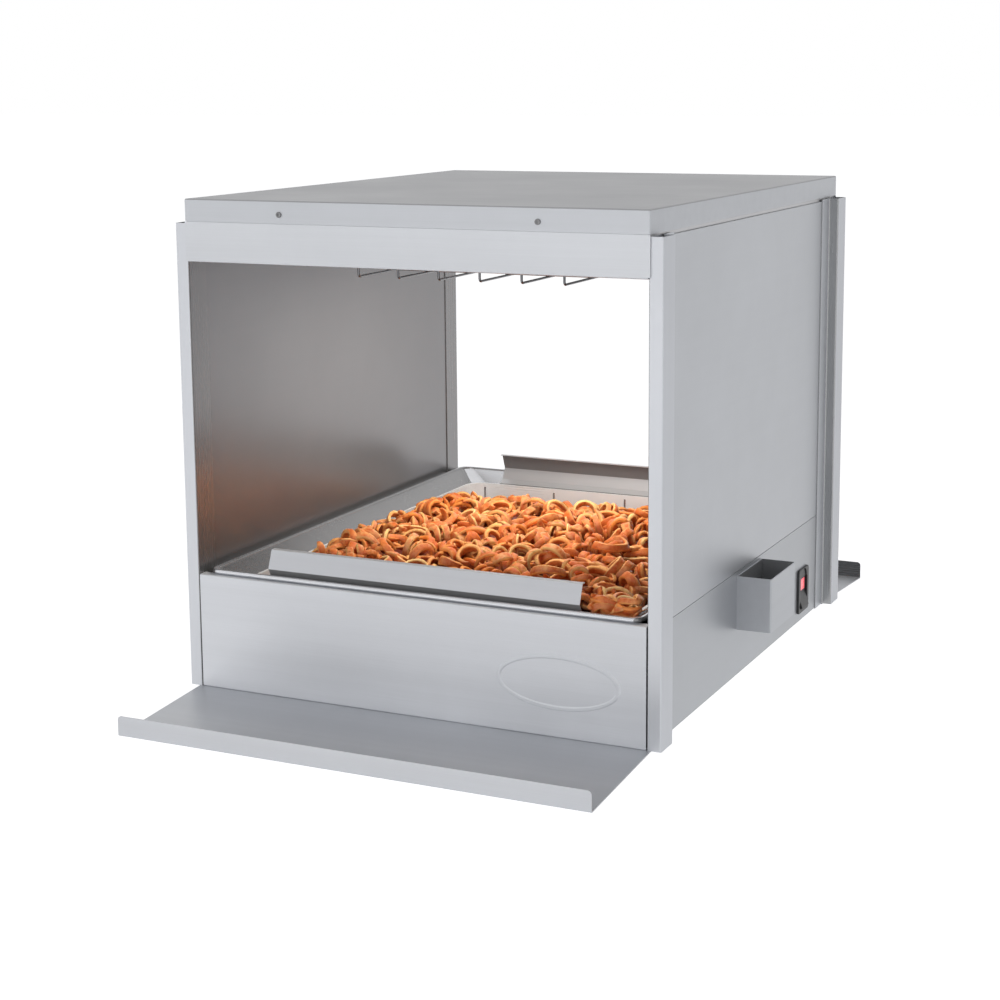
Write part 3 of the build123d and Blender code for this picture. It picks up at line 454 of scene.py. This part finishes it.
def heap_core():
    """The chips deep in the heap, as one lumpy closed body, painted fully in shade."""
    columns, rows = 60, 74
    inset, drop, lumps = 0.004, 0.024, 0.004
    floor_z = heap_floor + bed_gap
    rng = np.random.default_rng(random_seed + 5)
    points, faces = [], []
    for j in range(rows + 1):
        for i in range(columns + 1):
            x = heap_middle[0] + (2 * i / columns - 1) * (heap_half[0] - inset)
            y = heap_middle[1] + (2 * j / rows - 1) * (heap_half[1] - inset)
            points.append((x, y, heap_level(x, y) - drop + rng.uniform(-lumps, lumps)))
    top_count = len(points)
    rim = ([(i, 0) for i in range(columns)] + [(columns, j) for j in range(rows)]
           + [(i, rows) for i in range(columns, 0, -1)] + [(0, j) for j in range(rows, 0, -1)])
    for j in range(rows):
        for i in range(columns):
            a = j * (columns + 1) + i
            faces.append((a, a + 1, a + columns + 2, a + columns + 1))
    count = len(rim)
    for k in range(count):
        i, j = rim[k]
        i2, j2 = rim[(k + 1) % count]
        x, y, _ = points[j * (columns + 1) + i]
        points.append((x, y, floor_z))
        top, next_top = j * (columns + 1) + i, j2 * (columns + 1) + i2
        faces.append((top, top_count + k, top_count + (k + 1) % count, next_top))
    faces.append(tuple(top_count + k for k in reversed(range(count))))
    points = np.array(points)
    # Painted shade: the whole core takes the darkest shade colour
    everywhere = np.ones(len(points))
    return chip_piece("chips_core", points, faces, everywhere, everywhere, everywhere)


def spill_places(rng, count, spread, lift):
    """Places round the spill's centre, each with the level of a curl's top over the pan's shoulder."""
    places = []
    for _ in range(count):
        angle = rng.uniform(0, 2 * pi)
        reach = spread * spill_radius * sqrt(rng.uniform(0, 1))
        x, y = spill_centre[0] + reach * cos(angle), spill_centre[1] + reach * sin(angle)
        places.append((x, y, shoulder_height(x, y) + lift + rng.uniform(0, 0.008)))
    return places


def make_heap(material):
    rng = np.random.default_rng(random_seed)
    low = (heap_middle[0] - heap_half[0], heap_middle[1] - heap_half[1])
    high = (heap_middle[0] + heap_half[0], heap_middle[1] + heap_half[1])
    spill_low = (spill_centre[0] - spill_radius, spill_centre[1] - spill_radius)
    spill_high = (spill_centre[0] + spill_radius, spill_centre[1] + spill_radius)
    heap_box, spill_box = (low, high), (spill_low, spill_high)
    lying = {"shade": spill_shade, "bed": spill_bed}
    pieces = [
        heap_core(),
        join_curls("chips_lower", rng, scatter(rng, 0.032, 0.017, 0.016, 0.35), 6, 13, 0.5, heap_box),
        join_curls("chips_upper", rng, scatter(rng, 0.029, 0.018, 0.004, 0.5), 8, 18, 0.9, heap_box),
        join_curls("chips_top", rng, scatter(rng, 0.052, 0.030, -0.004, 0.6), 8, 20, 1.2, heap_box),
        join_curls("chips_spilled", rng, spill_places(rng, 16, 0.75, 0.020), 8, 18, 0.7, spill_box, **lying),
        join_curls("chips_hanging", rng, spill_places(rng, 9, 0.9, 0.027), 8, 20, 0.35, spill_box,
                   hanging_stretch, **lying),
    ]
    for piece in pieces:
        piece.data.materials.append(material)
        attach(piece, "tray")
        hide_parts("curly_chips")


# Studio

def seen_directly(tree_nodes, links):
    """1 for camera, glossy and transmission rays, 0 for the light that bounces off matt things."""
    path = tree_nodes.new("ShaderNodeLightPath")
    camera_ray, glossy_ray = path.outputs["Is Camera Ray"], path.outputs["Is Glossy Ray"]
    either = calculate(tree_nodes, links, "MAXIMUM", camera_ray, glossy_ray)
    return calculate(tree_nodes, links, "MAXIMUM", either, path.outputs["Is Transmission Ray"])


def make_world():
    world = bpy.data.worlds.new("studio")
    bpy.context.scene.world = world
    world.use_nodes = True
    tree, links = world.node_tree.nodes, world.node_tree.links
    background = tree["Background"]
    colour = mix_colours(tree, links, seen_directly(tree, links), world_fill, (1.0, 1.0, 1.0))
    links.new(colour, background.inputs["Color"])


def make_floor():
    bpy.ops.mesh.primitive_plane_add(size=floor_size)
    floor = bpy.context.object
    floor.name = "studio_floor"
    made, tree, links, shader = new_material("studio_floor")
    glow = tree.new("ShaderNodeEmission")
    mixed = tree.new("ShaderNodeAddShader")
    strength = calculate(tree, links, "MULTIPLY", seen_directly(tree, links), floor_glow)
    links.new(strength, glow.inputs["Strength"])
    shader.inputs["Base Color"].default_value = (0.75, 0.75, 0.75, 1.0)
    shader.inputs["Roughness"].default_value = 0.9
    shader.inputs["Specular IOR Level"].default_value = 0.0
    links.new(shader.outputs["BSDF"], mixed.inputs[0])
    links.new(glow.outputs["Emission"], mixed.inputs[1])
    links.new(mixed.outputs["Shader"], tree["Material Output"].inputs["Surface"])
    floor.data.materials.append(made)


def area_lamp(name, place, aim, size, power, tint=(1, 1, 1)):
    light = bpy.data.lights.new(name, "AREA")
    light.shape = "RECTANGLE"
    light.size, light.size_y = size
    light.energy = power
    light.color = tint
    lamp = bpy.data.objects.new(name, light)
    bpy.context.collection.objects.link(lamp)
    lamp.location = place
    lamp.rotation_euler = (Vector(aim) - Vector(place)).to_track_quat("-Z", "Y").to_euler()
    lamp.visible_glossy = False


def make_lamps():
    """Soft lamps: position, aim, size in metres and watts. None shows up in the steel."""
    area_lamp("key", (-0.5, -4.2, 0.75), (0, 0, 0.35), (2.4, 1.6), 70.0)
    area_lamp("side_fill", (3.4, 0.2, 1.7), (0, 0, 0.4), (2.0, 1.6), 8.0)
    area_lamp("under_hood", (middle_x, 0.0, 0.513), (middle_x, 0.0, 0.0), (0.30, 0.42), 3.0, heater_tint)


def make_camera():
    data = bpy.data.cameras.new("camera")
    data.sensor_width = 36.0
    data.lens = camera_lens
    data.shift_y = camera_shift
    camera = bpy.data.objects.new("camera", data)
    bpy.context.collection.objects.link(camera)
    turn = (Euler((0, 0, radians(camera_yaw))).to_matrix()
            @ Euler((radians(90 - camera_pitch), 0, 0)).to_matrix()
            @ Euler((0, 0, radians(camera_roll))).to_matrix())
    camera.rotation_euler = turn.to_euler()
    camera.location = camera_place
    bpy.context.scene.camera = camera


def dress_metal():
    steel = (0.585, 0.60, 0.63)
    # Painted light: a paler copy of the steel for the front fascias, standing in for the key lamp's light on
    # the front faces
    front_lit_steel = (0.665, 0.68, 0.71)
    # Painted shade: a darker copy of the steel for the base's sides, for light that falls off towards the
    # bottom
    shaded_base_side_tone = (0.515, 0.53, 0.555)
    pocket_tone = (0.545, 0.56, 0.588)
    cabinet_middle = (middle_x, 0.0, 0.0)
    pocket_low, pocket_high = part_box("side_pocket")
    pocket_middle = ((pocket_low.x + pocket_high.x) / 2, (pocket_low.y + pocket_high.y) / 2, 0.0)

    def inside(tree, links):
        return inward_facing(tree, links, cabinet_middle, "XY")

    def pocket_inside(tree, links):
        return inward_facing(tree, links, pocket_middle, "XY")

    def ledge_inside(tree, links):
        return inward_facing(tree, links, cabinet_middle, "Y")

    def upward(tree, links):
        return turned(tree, links, "Z", 1)

    def downward(tree, links):
        return turned(tree, links, "Z", -1, 0.2)

    def sideways(tree, links):
        to_right, to_left = turned(tree, links, "X", 1), turned(tree, links, "X", -1)
        return calculate(tree, links, "MAXIMUM", to_right, to_left)

    # Painted shade: the cover's upward faces get a darker tone, for the light the top receives less of
    dress(brushed("cover_steel", steel, "x", shade_mask=upward, painted_shade_tone=(0.375, 0.377, 0.39),
                  masked_metallic=0.5, masked_roughness=0.4), "top_cover")
    dress(brushed("fascia_steel", front_lit_steel, "x"), "hood_front_fascia", "hood_rear_fascia")
    # Painted light: a paler copy of the steel for the base's front and rear panels, standing in for the
    # light on the front face
    dress(brushed("base_steel", (0.73, 0.745, 0.78), "x", 0.35), "base_front_panel", "base_rear_panel")
    # Painted shade: the ledges' faces that look in towards the cabinet get a dark tone for the shaded
    # cabinet they reflect
    dress(brushed("ledge_steel", steel, "x", shade_mask=ledge_inside, painted_shade_tone=(0.20, 0.205, 0.21)),
          "front_ledge", "rear_ledge")
    # Painted shade: the side panels' and base sides' inward faces get a dark tone for the shade inside the
    # cabinet
    for name, tone in (("side_panel", steel), ("base_side", shaded_base_side_tone)):
        dress(brushed(name + "_steel", tone, "y", shade_mask=inside, painted_shade_tone=(0.245, 0.242, 0.25),
                      relief=0.004, streaks=0.006, spread=0.006), name + "_left", name + "_right")
    # Painted shade: the pocket's inward faces get a darker tone for the shade inside it
    dress(brushed("pocket_steel", pocket_tone, "y", shade_mask=pocket_inside, painted_shade_tone=(0.36, 0.365, 0.375),
                  masked_metallic=0.5, masked_roughness=0.4), "side_pocket")
    # Painted shade: the posts' inward faces get darker tones, darker on the left posts than on the right, as
    # shaded copies of one steel
    for side, inner_shade_tone in (("left", (0.27, 0.267, 0.273)), ("right", (0.42, 0.425, 0.43))):
        dress(brushed("post_steel_" + side, (0.67, 0.685, 0.72), "z", shade_mask=inside, painted_shade_tone=inner_shade_tone,
                      streaks=0.01, relief=0.02, spread=0.015), "post_front_" + side, "post_rear_" + side)
    dress(brushed("soffit_steel", (0.50, 0.50, 0.51), "x", 0.8, 0.35), "hood_soffit")
    # Painted reflection: the pan's sideways faces get a dark tone for the dark walls they reflect
    dress(brushed("pan_steel", (0.66, 0.67, 0.70), "x", 0.8, 0.25, shade_mask=sideways,
                  painted_shade_tone=(0.26, 0.26, 0.265), masked_metallic=0.8, streaks=0.015, anisotropy=0.3,
                  relief=0.02, spread=0.015), "food_pan")
    # Painted reflection: the tray's steel is near-white and mostly matt, standing in for the bright
    # surroundings it reflects
    dress(brushed("tray_steel", (0.92, 0.93, 0.95), "x", 0.2, 0.3, streaks=0.015, anisotropy=0.3),
          "pan_insert")
    # Painted shade: the guards' downward faces get a dark tone for the shade under them
    dress(brushed("guard_steel", (0.62, 0.63, 0.66), "x", 0.45, 0.4, shade_mask=downward,
                  painted_shade_tone=(0.24, 0.24, 0.245), masked_metallic=0.3, masked_roughness=0.5),
          "front_guard", "rear_guard")
    dress(brushed("mill_steel", (0.50, 0.51, 0.52), "x", 0.9, 0.45), "base_bottom_plate",
          "deck_support_front", "deck_support_rear", "heater_deck", "pan_rail_left", "pan_rail_right")
    dress(brushed("reflector", (0.80, 0.80, 0.80), "y", 1.0, 0.22), *names_like("heater_housing"))
    dress(brushed("foil", (0.72, 0.72, 0.72), "x", 1.0, 0.35, streaks=0.1), "base_heater_pad")
    dress(brushed("plated_wire", (0.22, 0.22, 0.23), "y", 1.0, 0.35), *names_like("wire_guard"))
    dress(brushed("conduit_metal", (0.45, 0.45, 0.46), "z", 1.0, 0.4), "wiring_conduit")
    dress(moulded("zinc_plate", (0.24, 0.24, 0.245), 0.35, 0.1, 900.0, 0.1, 1.0), "hood_screws",
          "guard_screws", "foot_screws", "ledge_screws", "pocket_screws", "element_clips")
    dress(moulded("element_sheath", (0.16, 0.13, 0.115), 0.5, 0.3, 1200.0, 0.2, 0.6),
          *names_like("heating_element"))
    dress(moulded("tinned_brass", (0.72, 0.56, 0.26), 0.35, 0.1, 900.0, 0.1, 1.0), "switch_terminals")


def dress_others():
    dress(moulded("black_plastic", (0.022, 0.022, 0.024), 0.42), "switch_body", "rocker", "cord_gland",
          "hood_terminal_block", "base_terminal_block", "base_thermostat")
    dress(moulded("black_rubber", (0.03, 0.03, 0.031), 0.75, 0.2, 700.0, 0.2), "conduit_grommets",
          *names_like("foot_front", "foot_rear"))
    dress(moulded("steatite", (0.84, 0.81, 0.74), 0.6, 0.06), "element_bushings")
    dress(moulded("silicone_lead", (0.60, 0.07, 0.045), 0.55, 0.1), "hood_leads", "base_leads")
    dress(moulded("fibre_mat", (0.76, 0.74, 0.68), 0.95, 0.12, 300.0, 0.8), "deck_insulation")
    dress(lit_window(), "rocker_lens")


middle_x = (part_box("top_cover")[0].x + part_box("top_cover")[1].x) / 2
pan_low, pan_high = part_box("food_pan")
tray_low, tray_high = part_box("pan_insert")
heap_low = (tray_low.x + tray_wall + heap_gap_left, tray_low.y + tray_wall + heap_gap_front)
heap_high = (tray_high.x - tray_wall - heap_gap_right, tray_high.y - tray_wall - heap_gap_rear)
heap_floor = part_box("curly_chips")[0].z
heap_middle = [(a + b) / 2 for a, b in zip(heap_low, heap_high)]
heap_half = [(b - a) / 2 for a, b in zip(heap_low, heap_high)]
spill_centre = (tray_high.x - tray_wall - spill_inset[0], tray_low.y + tray_wall + spill_inset[1])
dress_metal()
dress_others()
make_heap(fried_potato())
make_world()
make_floor()
make_lamps()
make_camera()

scene = bpy.context.scene
scene.view_settings.view_transform = "Standard"
